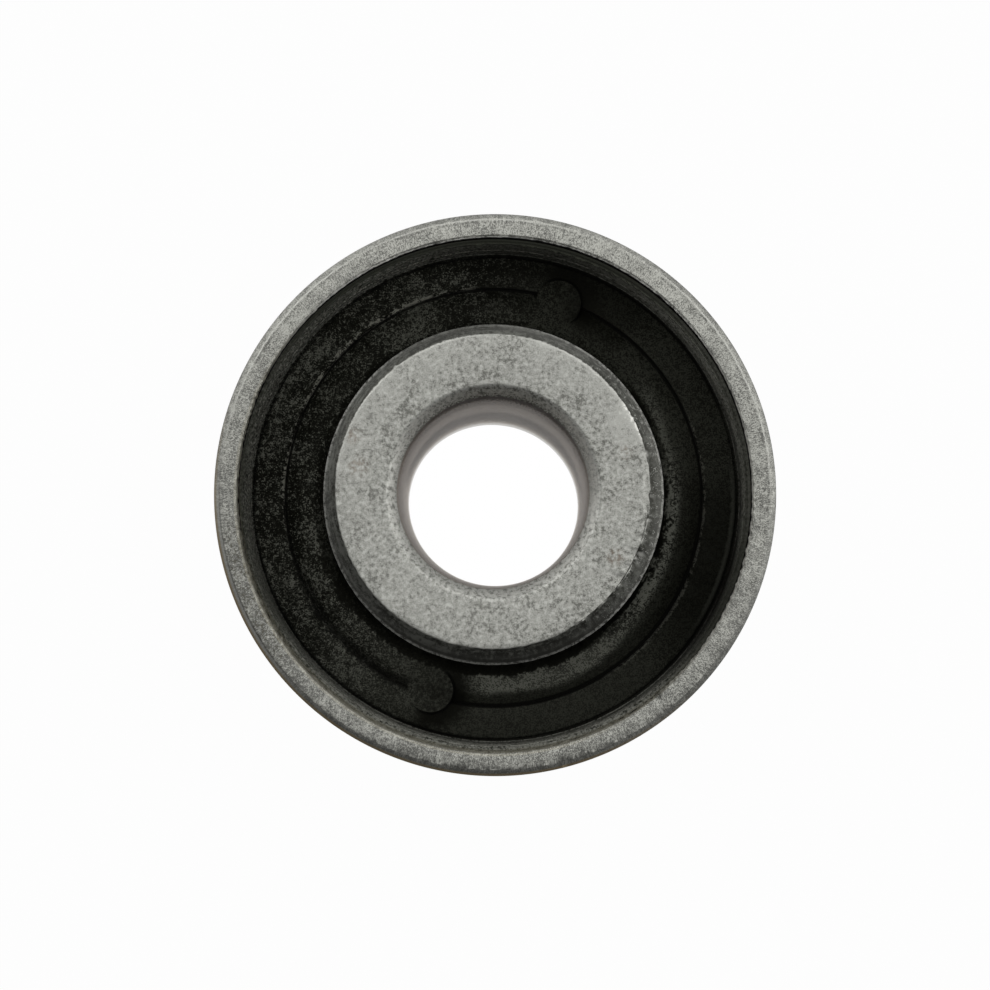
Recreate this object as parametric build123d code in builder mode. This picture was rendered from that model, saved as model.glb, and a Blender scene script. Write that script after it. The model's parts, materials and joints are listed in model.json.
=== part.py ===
from build123d import *
import os

# Bonded rubber and metal bush. It stands on the lower end of its inner sleeve, with its axis along +Z,
# and its two ends are alike apart from the gate pads, which only the upper end has.
# All sizes are in millimetres.

# Inner sleeve, the thick tube that a bolt clamps
bolt_bore_diameter = 12.3
inner_sleeve_wall = 4.76
inner_sleeve_overhang = 5.0
inner_sleeve_edge_chamfer = 0.87
bore_mouth_chamfer = 0.75

# Outer sleeve, the thin tube that is pressed into its housing
outer_sleeve_wall = 1.65
outer_sleeve_length = 34.0
outer_sleeve_edge_chamfer = 0.37
outer_sleeve_inner_break = 0.25

# Rubber ring between the sleeves
rubber_thickness = 5.74
shelf_depth = 6.5
inner_ring_width = 3.04
crown_land_width = 1.1
crown_rise = 0.15
crown_dip = 0.45
groove_width = 0.18
groove_depth = 0.55

# Thin rubber lining that runs up inside the outer sleeve, with a narrow groove round its foot
lining_lip_thickness = 0.3
lining_foot_thickness = 0.42
lining_lip_depth = 0.35
lining_lip_chamfer = 0.08
foot_groove_width = 0.24
foot_groove_depth = 0.25

# Round gate pads across the parting groove
gate_pad_count = 2
gate_pad_diameter = 3.15
gate_pad_height = 0.6
gate_pad_edge_chamfer = 0.1
gate_pad_inset = 0.4
gate_pad_angle = 71.6

# Radii, worked outwards from the bore
bore_radius = bolt_bore_diameter / 2
inner_sleeve_radius = bore_radius + inner_sleeve_wall
rubber_radius = inner_sleeve_radius + rubber_thickness
outer_sleeve_radius = rubber_radius + outer_sleeve_wall
parting_radius = inner_sleeve_radius + inner_ring_width
groove_radius = parting_radius - groove_width
crown_radius = (inner_sleeve_radius + groove_radius) / 2
crown_land_inner_radius = crown_radius - crown_land_width / 2
crown_land_outer_radius = crown_radius + crown_land_width / 2
lining_foot_radius = rubber_radius - lining_foot_thickness
lining_lip_radius = rubber_radius - lining_lip_thickness
foot_groove_radius = lining_foot_radius - foot_groove_width
gate_pad_circle_radius = parting_radius - gate_pad_inset

# Heights, taken from the middle of the bush, which is the section plane's origin
outer_sleeve_top = outer_sleeve_length / 2
inner_sleeve_top = outer_sleeve_top + inner_sleeve_overhang
inner_sleeve_length = 2 * inner_sleeve_top
shelf_height = outer_sleeve_top - shelf_depth
lip_height = outer_sleeve_top - lining_lip_depth
groove_floor_height = shelf_height - groove_depth
foot_groove_height = shelf_height - foot_groove_depth
crown_edge_height = shelf_height - crown_dip
crown_top_height = shelf_height + crown_rise
pad_top_height = shelf_height + gate_pad_height

section_plane = Plane(origin=(0, 0, inner_sleeve_top), x_dir=(1, 0, 0), z_dir=(0, -1, 0))


# Inner sleeve: a turned tube, chamfered at both ends, inside and out
with BuildPart() as inner_sleeve:
    with BuildSketch(section_plane) as inner_sleeve_section:
        with Locations(((bore_radius + inner_sleeve_radius) / 2, 0)):
            Rectangle(inner_sleeve_wall, inner_sleeve_length)
        outer_corners = inner_sleeve_section.vertices().group_by(Axis.X)[-1]
        bore_corners = inner_sleeve_section.vertices().group_by(Axis.X)[0]
        chamfer(outer_corners, inner_sleeve_edge_chamfer)
        chamfer(bore_corners, bore_mouth_chamfer)
    revolve(axis=Axis.Z)


# Outer sleeve: a thin tube, chamfered outside for its press fit and deburred inside
with BuildPart() as outer_sleeve:
    with BuildSketch(section_plane) as outer_sleeve_section:
        with Locations(((rubber_radius + outer_sleeve_radius) / 2, 0)):
            Rectangle(outer_sleeve_wall, outer_sleeve_length)
        outer_corners = outer_sleeve_section.vertices().group_by(Axis.X)[-1]
        inner_corners = outer_sleeve_section.vertices().group_by(Axis.X)[0]
        chamfer(outer_corners, outer_sleeve_edge_chamfer)
        chamfer(inner_corners, outer_sleeve_inner_break)
    revolve(axis=Axis.Z)


# Rubber ring: its upper half is drawn from the inner sleeve outwards and mirrored to the lower end.
# The inner ring has a flat land on its crown, which slopes down to the sleeve and to the groove.
with BuildPart() as rubber:
    with BuildSketch(section_plane) as rubber_section:
        with BuildLine():
            Polyline(
                (inner_sleeve_radius, 0),
                (inner_sleeve_radius, crown_edge_height),
                (crown_land_inner_radius, crown_top_height),
                (crown_land_outer_radius, crown_top_height),
                (groove_radius, crown_edge_height),
                (groove_radius, groove_floor_height),
                (parting_radius, groove_floor_height),
                (parting_radius, shelf_height),
                (foot_groove_radius, shelf_height),
                (foot_groove_radius, foot_groove_height),
                (lining_foot_radius, foot_groove_height),
                (lining_lip_radius, lip_height),
                (rubber_radius, lip_height),
                (rubber_radius, 0),
                close=True,
            )
        make_face()
        lining_lip = (lining_lip_radius, lip_height, 0)
        chamfer(rubber_section.vertices().sort_by_distance(lining_lip)[0], lining_lip_chamfer)
        mirror(about=Plane.XZ)
    revolve(axis=Axis.Z)

    # The pads rise from the groove's floor and stand proud of the shelf
    with BuildSketch(Plane.XY.offset(inner_sleeve_top + groove_floor_height)):
        with PolarLocations(gate_pad_circle_radius, gate_pad_count, start_angle=gate_pad_angle):
            Circle(gate_pad_diameter / 2)
    extrude(amount=pad_top_height - groove_floor_height)
    pad_top = inner_sleeve_top + pad_top_height
    pad_faces = rubber.faces().filter_by(Plane.XY).filter_by_position(Axis.Z, pad_top, pad_top)
    chamfer(pad_faces.edges(), gate_pad_edge_chamfer)


inner_sleeve.part.label = "inner_sleeve"
outer_sleeve.part.label = "outer_sleeve"
rubber.part.label = "rubber"

os.makedirs("parts", exist_ok=True)
export_step(inner_sleeve.part, "parts/inner_sleeve.step")
export_step(outer_sleeve.part, "parts/outer_sleeve.step")
export_step(rubber.part, "parts/rubber.step")
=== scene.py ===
import json
import math

import bmesh
import bpy
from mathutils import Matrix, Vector


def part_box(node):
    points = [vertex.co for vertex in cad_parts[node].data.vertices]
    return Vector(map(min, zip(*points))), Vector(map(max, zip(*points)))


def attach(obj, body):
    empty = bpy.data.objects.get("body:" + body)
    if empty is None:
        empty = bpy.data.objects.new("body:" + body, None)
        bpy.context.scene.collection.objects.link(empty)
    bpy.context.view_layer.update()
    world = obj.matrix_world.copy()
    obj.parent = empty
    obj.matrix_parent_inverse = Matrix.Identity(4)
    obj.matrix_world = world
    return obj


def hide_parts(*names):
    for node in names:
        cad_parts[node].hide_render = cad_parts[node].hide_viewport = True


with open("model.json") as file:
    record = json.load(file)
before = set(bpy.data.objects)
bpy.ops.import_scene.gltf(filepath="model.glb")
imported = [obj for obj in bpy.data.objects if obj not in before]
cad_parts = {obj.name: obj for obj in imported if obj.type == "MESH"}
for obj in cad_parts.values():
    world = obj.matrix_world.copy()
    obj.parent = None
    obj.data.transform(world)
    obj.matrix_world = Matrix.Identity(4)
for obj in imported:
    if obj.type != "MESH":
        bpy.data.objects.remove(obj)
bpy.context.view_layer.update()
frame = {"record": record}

bl_info = {
    "name": "Bonded rubber bush",
    "version": (1, 0, 0),
    "blender": (4, 5, 0),
    "location": "3D View > Sidebar > Bush",
    "description": "Models and finishes a rubber bush bonded between two steel sleeves",
    "category": "Object",
}

# The frame gives the size of each part of the bush, in metres
INNER_LOW, INNER_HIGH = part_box("inner_sleeve")
OUTER_LOW, OUTER_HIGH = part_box("outer_sleeve")
RUBBER_LOW, RUBBER_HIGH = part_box("rubber")
MOUNTS = {mount["name"]: mount for mount in frame["record"]["mounts"]}
MM = 0.001
HALF_TURN = math.pi
TOUCH = 0.02 * MM
MERGE = 0.1 * TOUCH
SMOOTH_ANGLE = math.radians(35)
WHITE = (1, 1, 1, 1)


def tube_radius(low, high):
    """The radius of a tube that just fits in its box."""
    return min(-low.x, -low.y, high.x, high.y)


INNER_SLEEVE_RADIUS = tube_radius(INNER_LOW, INNER_HIGH)
RUBBER_RADIUS = tube_radius(RUBBER_LOW, RUBBER_HIGH)
OUTER_SLEEVE_RADIUS = tube_radius(OUTER_LOW, OUTER_HIGH)


# ---------------------------------------------------------------- sizes and colours


def length(name, description, default):
    """A size in metres that the sidebar shows."""
    return bpy.props.FloatProperty(
        name=name, description=description, default=default, precision=6, subtype="DISTANCE", unit="LENGTH"
    )


def shift(what, across, up):
    """A sideways shift that the sidebar shows. It is given here in millimetres and kept in metres."""
    return bpy.props.FloatVectorProperty(
        name=f"Shift of the {what}",
        description=f"How far off the axis the {what} lies",
        default=(across * MM, up * MM, 0),
        precision=6,
        subtype="TRANSLATION",
        unit="LENGTH",
    )


def spin_steps(default):
    """The number of steps in which a section is turned."""
    return bpy.props.IntProperty(name="Steps", description="Steps of the spin", default=default, min=3)


def colour(name, description, default):
    """A linear colour."""
    return bpy.props.FloatVectorProperty(
        name=name, description=description, default=default, size=3, min=0, max=1, subtype="COLOR"
    )


class InnerSleeveSizes(bpy.types.PropertyGroup):
    """Inner sleeve, the thick tube that a bolt clamps"""

    radius: length("Radius", "Outside radius of the sleeve", INNER_SLEEVE_RADIUS)
    bore_radius: length("Bore radius", "Radius of the bolt bore", MOUNTS["bolt_bore"]["dims"]["r_mm"] * MM)
    low: length("Lower face", "Height of the lower end face", INNER_LOW.z)
    high: length("Upper face", "Height of the upper end face", INNER_HIGH.z)
    edge_chamfer: length("Edge chamfer", "Leg of the outer edge chamfers", 0.87 * MM)
    mouth_chamfer: length("Mouth chamfer", "Leg of the bore mouth chamfers", 0.71 * MM)
    edge_round: length("Edge round", "Small radius left on the turned edges", 0.05 * MM)
    face_round: length("Face round", "Radius at the edge of the end faces", 0.1 * MM)
    mouth_round: length("Mouth round", "Radius where the end faces meet the bore mouths", 0.16 * MM)
    sleeve_shift: shift("sleeve", -0.10, -0.0875)
    bore_shift: shift("bore", -0.125, 0.02)
    face_shift: shift("edge of a face", -0.14, 0.090)
    steps: spin_steps(720)


class OuterSleeveSizes(bpy.types.PropertyGroup):
    """Outer sleeve, the thin tube that is pressed into its housing"""

    radius: length("Radius", "Outside radius of the sleeve", OUTER_SLEEVE_RADIUS)
    inner_radius: length("Inner radius", "Inside radius of the sleeve", RUBBER_RADIUS)
    low: length("Lower rim", "Height of the lower rim", OUTER_LOW.z)
    high: length("Upper rim", "Height of the upper rim", OUTER_HIGH.z)
    edge_chamfer: length("Edge chamfer", "Leg of the outer edge chamfers", 0.37 * MM)
    inner_break: length("Inner break", "Leg of the broken inner edges", 0.14 * MM)
    rim_shift: shift("inside of the rim", 0.02, 0.09)
    chamfer_shift: shift("upper chamfer", 0.03, 0.04)
    edge_round: length("Edge round", "Small radius left on each edge", 0.05 * MM)
    steps: spin_steps(1080)


class RubberSizes(bpy.types.PropertyGroup):
    """Rubber ring, moulded between the sleeves"""

    inner_radius: length("Inner radius", "Radius of the bond to the inner sleeve", INNER_SLEEVE_RADIUS)
    outer_radius: length("Outer radius", "Radius of the bond to the outer sleeve", RUBBER_RADIUS)
    lip_low: length("Lower lip", "Height of the lower lip", RUBBER_LOW.z)
    lip_high: length("Upper lip", "Height of the upper lip", RUBBER_HIGH.z)
    lip_radius: length("Lip radius", "Radius inside the lip", 16.33 * MM)
    foot_radius: length("Foot radius", "Radius at the foot of the lining", 16.29 * MM)
    foot_groove_width: length("Foot groove width", "Width of the groove round the foot", 0.29 * MM)
    foot_groove_depth: length("Foot groove depth", "Depth of the groove round the foot", 0.4 * MM)
    shelf_depth: length("Shelf depth", "From the lip down to the shelf", 6.15 * MM)
    parting_radius: length("Parting radius", "Radius of the parting groove's outer wall", 13.95 * MM)
    groove_width: length("Groove width", "Width of the parting groove", 0.18 * MM)
    groove_depth: length("Groove depth", "Depth of the parting groove", 0.55 * MM)
    land_width: length("Land width", "Width of the flat crown of the inner ring", 1.1 * MM)
    crown_rise: length("Crown rise", "From the shelf up to the crown", 0.15 * MM)
    crown_dip: length("Crown dip", "From the shelf down to the crown's edges", 0.45 * MM)
    flash_height: length("Flash height", "Greatest height of the flash beside the groove", 0.16 * MM)
    shelf_shift: shift("shelf with its crown", -0.09, -0.06)
    foot_shift: shift("foot of the lining", 0.02, -0.05)
    lip_shift: shift("lip of the lining", -0.075, 0)
    steps: spin_steps(1080)


class PadSizes(bpy.types.PropertyGroup):
    """Gate pads, round pads across the parting groove"""

    radius: length("Radius", "Radius of a gate pad", 1.575 * MM)
    rise: length("Rise", "From the shelf up to the top of a pad", 0.6 * MM)
    edge_round: length("Edge round", "Radius round the top of a pad", 0.12 * MM)
    circle_radius: length("Circle radius", "Radius on which the pads lie", 13.55 * MM)
    angle: bpy.props.FloatProperty(
        name="Angle", description="Direction of the first pad", default=math.radians(71.7), subtype="ANGLE"
    )
    pad_shift: shift("circle of pads", -0.05, 0.03)
    lean: length("Lean", "How much lower the side of a pad is that runs into the crown", 0.85 * MM)


class BushColours(bpy.types.PropertyGroup):
    """Colours"""

    face: colour("Face", "Bare steel of the inner sleeve's faces", (0.355, 0.358, 0.33))
    face_speck: colour("Face speck", "Dark specks in the inner sleeve's faces", (0.15, 0.15, 0.135))
    stain: colour("Stain", "Brown stains on the steel", (0.20, 0.155, 0.12))
    skin: colour("Skin", "Darker skin of the inner sleeve's edge", (0.128, 0.130, 0.116))
    # Dark skin also serves as painted shade on the inner sleeve's chamfer and round the bore's mouth
    dark_skin_and_shade: colour("Dark skin", "Dark marks in that skin", (0.035, 0.035, 0.030))
    # This pale steel also serves for painted highlights and a painted reflection of the floor
    worn_and_highlight: colour("Worn steel", "Edges that wear has polished", (0.66, 0.66, 0.62))
    bore: colour("Bore", "Wall of the bolt bore", (0.38, 0.325, 0.27))
    # These specks also serve as painted shade under the bore's mouth
    bore_speck_and_shade: colour("Bore speck", "Brown specks in the bolt bore", (0.06, 0.045, 0.035))
    rim: colour("Rim", "Bare steel of the outer sleeve's rims", (0.43, 0.432, 0.394))
    # This grain colour also serves as painted shade on the rims and on the chamfer's lower side
    rim_grain_and_shade: colour("Rim grain", "Dark grain in the outer sleeve's rims", (0.12, 0.12, 0.11))
    warm: colour("Warm steel", "Outermost edge of the outer sleeve's rims", (0.30, 0.23, 0.13))
    # A painted highlight on the rim's inner edge
    pale: colour("Pale steel", "Pale edge inside the outer sleeve's rims", (0.62, 0.57, 0.42))
    # This brown also serves as a painted shadow where the steel meets its lining
    rust_and_shadow: colour("Rust", "Brown line between the steel and its lining", (0.075, 0.069, 0.046))
    tube: colour("Tube", "Drawn outside of the outer sleeve", (0.30, 0.30, 0.295))
    rubber: colour("Rubber", "Clean black rubber", (0.0290, 0.0305, 0.0235))
    # This colour also serves for painted shade and painted shadows on the rubber
    deep_and_shade: colour("Deep rubber", "Rubber where no dust has settled", (0.003, 0.003, 0.0018))
    # This black serves as painted shade in the rubber's creases, grooves and gaps
    black: colour("Black", "Creases of the rubber", (0.001, 0.001, 0.0008))
    lining: colour("Lining", "Greyer rubber of the lining", (0.165, 0.165, 0.143))
    # This grey also serves as painted light on the lining's lower side
    pale_lining: colour("Pale lining", "Where the lining is palest", (0.34, 0.34, 0.30))
    # This grey also serves as painted light on the shelf's lower side
    bloom: colour("Bloom", "Grey bloom and dust on the rubber", (0.134, 0.137, 0.115))
    # The flash's paleness is partly a painted highlight
    flash: colour("Flash", "Torn flash beside the groove", (0.19, 0.19, 0.16))
    floor: colour("Floor", "The floor under the bush", (0.25, 0.25, 0.25))


def pad_places(size):
    """The middle of each gate pad in the plan, and the direction in degrees to which its top falls."""
    places = []
    for way, lean in ((size.angle, 215), (size.angle + HALF_TURN, 145)):
        across, up = (size.circle_radius * part(way) for part in (math.cos, math.sin))
        places.append((across + size.pad_shift[0], up + size.pad_shift[1], lean))
    return places


GROUPS = {
    "bush_inner_sleeve": InnerSleeveSizes,
    "bush_outer_sleeve": OuterSleeveSizes,
    "bush_rubber": RubberSizes,
    "bush_pads": PadSizes,
    "bush_colours": BushColours,
}


# ---------------------------------------------------------------- finishes


def millimetres(place):
    """The two parts of a place or shift in the plan, which is given in metres."""
    return [part / MM for part in place[:2]]


class Wire:
    """A socket of a node, on which maths is written as Python expressions."""

    def __init__(self, nodes, socket):
        self.nodes = nodes
        self.socket = socket

    def maths(self, operation, *values):
        return self.nodes.node("ShaderNodeMath", {"operation": operation}, dict(enumerate(values)))

    def __add__(self, other):
        return self.maths("ADD", self, other)

    def __radd__(self, other):
        return self.maths("ADD", other, self)

    def __sub__(self, other):
        return self.maths("SUBTRACT", self, other)

    def __rsub__(self, other):
        return self.maths("SUBTRACT", other, self)

    def __mul__(self, other):
        return self.maths("MULTIPLY", self, other)

    def __rmul__(self, other):
        return self.maths("MULTIPLY", other, self)

    def __truediv__(self, other):
        return self.maths("DIVIDE", self, other)

    def __abs__(self):
        return self.maths("ABSOLUTE", self)

    def rise(self, low, high):
        """0 below low and 1 above high, with a smooth step from one to the other."""
        smooth = {"interpolation_type": "SMOOTHSTEP"}
        return self.nodes.node("ShaderNodeMapRange", smooth, {0: self, 1: low, 2: high, 3: 0.0, 4: 1.0})

    def fall(self, low, high):
        """1 below low and 0 above high, with a smooth step from one to the other."""
        return 1 - self.rise(low, high)

    def band(self, low, high, soft):
        """1 from low to high, and 0 outside, with soft edges."""
        return self.rise(low - soft, low + soft) * self.fall(high - soft, high + soft)


class Nodes:
    """A node tree that is filled by short Python calls."""

    def __init__(self, tree):
        self.tree = tree
        self.tree.nodes.clear()

    def node(self, kind, settings=None, sockets=None, output=0):
        """Adds a node with these settings and sockets, and gives one of its outputs."""
        node = self.tree.nodes.new(kind)
        for name, value in (settings or {}).items():
            setattr(node, name, value)
        for key, value in (sockets or {}).items():
            if isinstance(value, Wire):
                self.tree.links.new(value.socket, node.inputs[key])
            else:
                node.inputs[key].default_value = value
        return Wire(self, node.outputs[output])

    def surface(self, shader, kind="ShaderNodeOutputMaterial"):
        """Ends the tree with its shader."""
        output = self.tree.nodes.new(kind)
        self.tree.links.new(shader.socket, output.inputs["Surface"])


class Finish(Nodes):
    """A material whose lengths are in millimetres, apart from the centre of its radius and its sectors,
    which is a shift in metres."""

    def __init__(self, name, centre=(0, 0)):
        self.material = bpy.data.materials.new(name)
        self.material.use_nodes = True
        super().__init__(self.material.node_tree)
        metres = self.node("ShaderNodeTexCoord", output="Object")
        self.place = self.node("ShaderNodeVectorMath", {"operation": "SCALE"}, {0: metres, "Scale": 1 / MM})
        *self.plan, self.z = self.axes(self.place)
        centre = millimetres(centre)
        self.x, self.y = (axis - part for axis, part in zip(self.plan, centre))
        self.radius = self.away(centre)
        self.uprightness = abs(self.axes(self.node("ShaderNodeTexCoord", output="Normal"))[2])

    def axes(self, place):
        """The three parts of a place or a normal."""
        return [self.node("ShaderNodeSeparateXYZ", sockets={0: place}, output=axis) for axis in "XYZ"]

    def noise(self, grain, detail=2.0, roughness=0.5, place=None):
        """Noise about 0 whose lumps are about this wide."""
        return self.node(
            "ShaderNodeTexNoise",
            {"noise_dimensions": "3D"},
            {"Vector": place or self.place, "Scale": 1 / grain, "Detail": detail, "Roughness": roughness},
        ) - 0.5

    def ring_place(self, middle, round_stretch, outward_stretch, upward=1.7):
        """A place whose grain is stretched round the axis or outwards, about a middle radius."""
        reach = middle / round_stretch
        return self.node(
            "ShaderNodeCombineXYZ",
            sockets={
                0: self.x / self.radius * reach,
                1: self.y / self.radius * reach,
                2: self.radius * (1 / outward_stretch) + self.z * upward,
            },
        )

    def upright_place(self, squeeze):
        """A place whose grain is stretched along the axis, for walls that stand upright."""
        return self.node("ShaderNodeCombineXYZ", sockets=dict(enumerate((*self.plan, self.z * squeeze))))

    def away(self, place):
        """The distance from a place in the plan."""
        across, up = (axis - part for axis, part in zip(self.plan, place))
        return across.maths("SQRT", across * across + up * up)

    def towards(self, place, direction):
        """1 on the side of a place that faces this direction in degrees, and -1 on the other side."""
        across, up = (axis - part for axis, part in zip(self.plan, place))
        way = math.radians(direction)
        return (across * math.cos(way) + up * math.sin(way)) / self.away(place)

    def near(self, place, reach):
        """1 at a place in the plan, falling to 0 at this reach from it."""
        return self.away(place).fall(0.25 * reach, reach)

    def sector(self, middle, half, soft):
        """1 within half an angle of the middle direction, seen from the axis, in degrees."""
        way = math.radians(middle)
        towards = (self.x * math.cos(way) + self.y * math.sin(way)) / self.radius
        edges = (math.cos(math.radians(angle)) for angle in (min(half + soft, 180), max(half - soft, 0)))
        return towards.rise(*edges)

    def sides(self, *sectors):
        """The sum of sectors, each of which is followed by its weight."""
        return sum(self.sector(*sector) * weight for *sector, weight in sectors)

    def blend(self, factor, first, second):
        """A colour between two colours."""
        sockets = {0: factor}
        for key, value in ((6, first), (7, second)):
            sockets[key] = value if isinstance(value, Wire) else (*value, 1.0)
        return self.node("ShaderNodeMix", {"data_type": "RGBA", "clamp_factor": True}, sockets, output=2)

    def layers(self, base, *layers):
        """A colour with other colours over it, each as far as its factor says."""
        for factor, colour in layers:
            base = self.blend(factor, base, colour)
        return base

    def bump(self, strength, distance, height):
        """A normal for fine relief."""
        sockets = {"Strength": strength, "Distance": distance * MM, "Height": height}
        return self.node("ShaderNodeBump", sockets=sockets)

    def close(self, sockets):
        """Ends the finish with its shader."""
        self.surface(self.node("ShaderNodeBsdfPrincipled", sockets=sockets))
        return self.material


def turned_steel(tone, centre):
    """Dull steel of the inner sleeve: mottled faces, a dark skin on the edges and a warm bore."""
    steel = Finish("turned_steel", centre)
    radius, noise, sector, sides = steel.radius, steel.noise, steel.sector, steel.sides
    slope = steel.uprightness.fall(0.80, 0.96)
    wall = steel.uprightness.fall(0.05, 0.30)
    outside = radius.rise(8.3, 8.7)
    far_side = sector(88, 62, 40)

    clouds = noise(1.2, 2.0, 0.6)
    mottle = noise(0.26)
    grain = noise(0.07, 1.0)
    marks = noise(0.10, 3.0, 0.6, steel.ring_place(9, 14, 1))
    bore_specks = noise(0.10, 2.0, 0.6, steel.upright_place(0.15))

    # The faces, the mouth of the bore and the dark line round it. The mouth's chamfer is paler, with painted
    # highlights on its sides towards 20° and 140°. The dark line round it is painted shade, strongest on the
    # far, upper side.
    quiet = 1 - sector(225, 45, 20) * 0.2
    spots = (mottle + clouds * 0.6 + grain * 0.3).rise(0.05, 0.20) * 0.42
    face_tone = (spots + grain * 2.0 + mottle * 0.55 + clouds * 0.85 + marks * 0.4) * quiet + 0.28
    # Painted highlights on the mouth's chamfer, towards 20° and 140°
    mouth = slope * (0.28 + sides((20, 30, 20, 0.5), (140, 20, 20, 0.2)))
    mouth_specks = slope * (mottle + grain * 0.8).rise(0.0, 0.14) * (0.2 + sector(80, 50, 25) * 0.15)
    # Painted shade: a dark line at the mouth's inner edge, mostly on the far, upper side
    mouth_edge = (radius + (bore_specks + mottle) * 0.9).fall(6.24, 6.40)
    mouth_edge = slope * (1 - wall) * mouth_edge * (0.1 + far_side * 0.8)
    face = steel.layers(
        tone.face,
        (face_tone, tone.face_speck),
        (mouth - mottle * 1.2, tone.worn_and_highlight),
        (mouth_specks, tone.dark_skin_and_shade),
        (mouth_edge, tone.dark_skin_and_shade),
    )
    for place, reach in (((-8.73, 1.71), 0.9), ((-9.05, 3.62), 0.7), ((7.64, -4.08), 0.8), ((8.3, 2.6), 0.6)):
        face = steel.blend(steel.near(place, reach) * mottle.rise(-0.08, 0.12) * 0.5, face, tone.stain)

    # The skin of the edge: streaks round it, a dark band on the lower side and a pale outer line. The dark
    # lower side is painted shade. So is the extra darkening towards 15° and 140° (less towards 205°) and on
    # the chamfer's inner part away from the lower side. The pale outer line is a painted highlight where the
    # chamfer meets the wall.
    streaks = noise(0.09, 3.0, 0.7, steel.ring_place(10.5, 9, 1))
    long_streaks = noise(0.16, 2.0, 0.6, steel.ring_place(10.5, 40, 1))
    skin_tone = (streaks * 1.1 + long_streaks + grain * 0.8 + mottle + clouds * 0.5).rise(-0.25, 0.27)
    # The lower side, where the chamfer carries painted shade
    lower = sector(268, 46, 30)
    dark_band = radius.band(10.55 + long_streaks * 0.3, 10.76, 0.05)
    outward = radius.rise(10.1, 10.6)
    # Painted shade by sector, and on the chamfer's inner part away from the lower side
    painted_shade = sides((15, 40, 15, 0.22), (140, 30, 15, 0.08), (205, 22, 15, -0.16))
    painted_shade = painted_shade + (1 - outward) * (1 - lower) * 0.22
    dark_patch = steel.near((9.35, -4.2), 1.1) + steel.near((10.1, 1.35), 1.0)
    # A painted highlight where the chamfer meets the wall, strongest on the sides towards 230° and 5°
    outer_edge_highlight = radius.rise(10.70, 10.82) * (mottle + grain * 0.7).rise(-0.16, 0.04)
    highlight_side = sides((230, 100, 12, 0.45), (5, 60, 15, 0.5)) + 0.15
    flecks = (mottle + grain).rise(0.22, 0.27) * sector(5, 55, 10)
    skin = steel.layers(
        tone.dark_skin_and_shade,
        (skin_tone, tone.skin),
        (outward * (0.06 + sector(66, 18, 12) * 0.06), tone.worn_and_highlight),
        (lower * (outward * 0.38 + dark_band * 0.4) + painted_shade, tone.dark_skin_and_shade),
        (dark_patch * mottle.rise(-0.12, 0.06) * 0.7, tone.dark_skin_and_shade),
        (outer_edge_highlight * highlight_side * 0.55, tone.worn_and_highlight),
        (flecks * 0.4, tone.worn_and_highlight),
    )
    # Painted highlights along the round between each face and its chamfer, on the sides towards 27°, 52°,
    # 108° and 152°
    edge_glint = steel.uprightness.band(0.80, 0.99, 0.02) * (mottle + grain * 0.5).rise(-0.10, 0.06)
    glint_side = sides((27, 6, 3, 1.0), (52, 24, 8, 0.5), (108, 12, 8, 0.45), (152, 22, 6, 0.5))

    # The bore: a dull ring half way down, dark specks under the mouth and a bright lower end. The ring, the
    # specks and the dark line under the mouth are heaviest on the far, upper side, and that weighting is
    # painted shade. The bright lower end is a painted reflection of the floor below.
    in_bore = wall * (1 - outside)
    near_side = sector(205, 30, 15)
    dull = steel.z.band(9, 21, 5) * (0.3 + far_side * 0.45 - near_side * 0.3)
    dull = dull + bore_specks * 0.9 + far_side * 0.36 - near_side * 0.25
    dull = dull + steel.z.rise(30, 38) * (0.2 + far_side * 0.7)
    specks = bore_specks.rise(0.03, 0.12) * steel.z.rise(30, 37) * (0.3 + far_side * 0.7)
    # A dark line under the mouth, painted shade that is strongest on the far, upper side
    mouth_line_and_shade = (steel.z + bore_specks * 9).rise(36.5, 41) * (0.15 + far_side * 0.85)
    # Marks and painted shade, which dull the metal
    dirt_and_shade = in_bore * (dull + specks + mouth_line_and_shade) + mouth_edge
    # A painted reflection of the floor on the bore's lower end, which is also smoother
    painted_floor_reflection = steel.z.fall(2, 7)
    bore = steel.layers(
        tone.bore,
        (specks * 0.7 + mouth_line_and_shade, tone.bore_speck_and_shade),
        (painted_floor_reflection * (0.5 + sector(232, 26, 14) * 0.5), tone.worn_and_highlight),
    )

    plain = steel.blend((streaks + grain).rise(-0.3, 0.35) * 0.4, tone.tube, tone.dark_skin_and_shade)
    finished = steel.layers(
        face,
        (in_bore, bore),
        (outside * slope, skin),
        (outside * wall, plain),
        (outside * edge_glint * glint_side, tone.worn_and_highlight),
    )
    return steel.close(
        {
            "Base Color": finished,
            "Metallic": 0.9 - dirt_and_shade.rise(0.0, 1.0) * 0.8,
            "Specular IOR Level": 0.1,
            "Roughness": 0.5 + mottle * 0.4 + in_bore * (mouth_line_and_shade * 0.18 - painted_floor_reflection * 0.2),
            "Normal": steel.bump(0.35, 0.02, (grain + marks + mottle) * 0.5),
        }
    )


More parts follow.
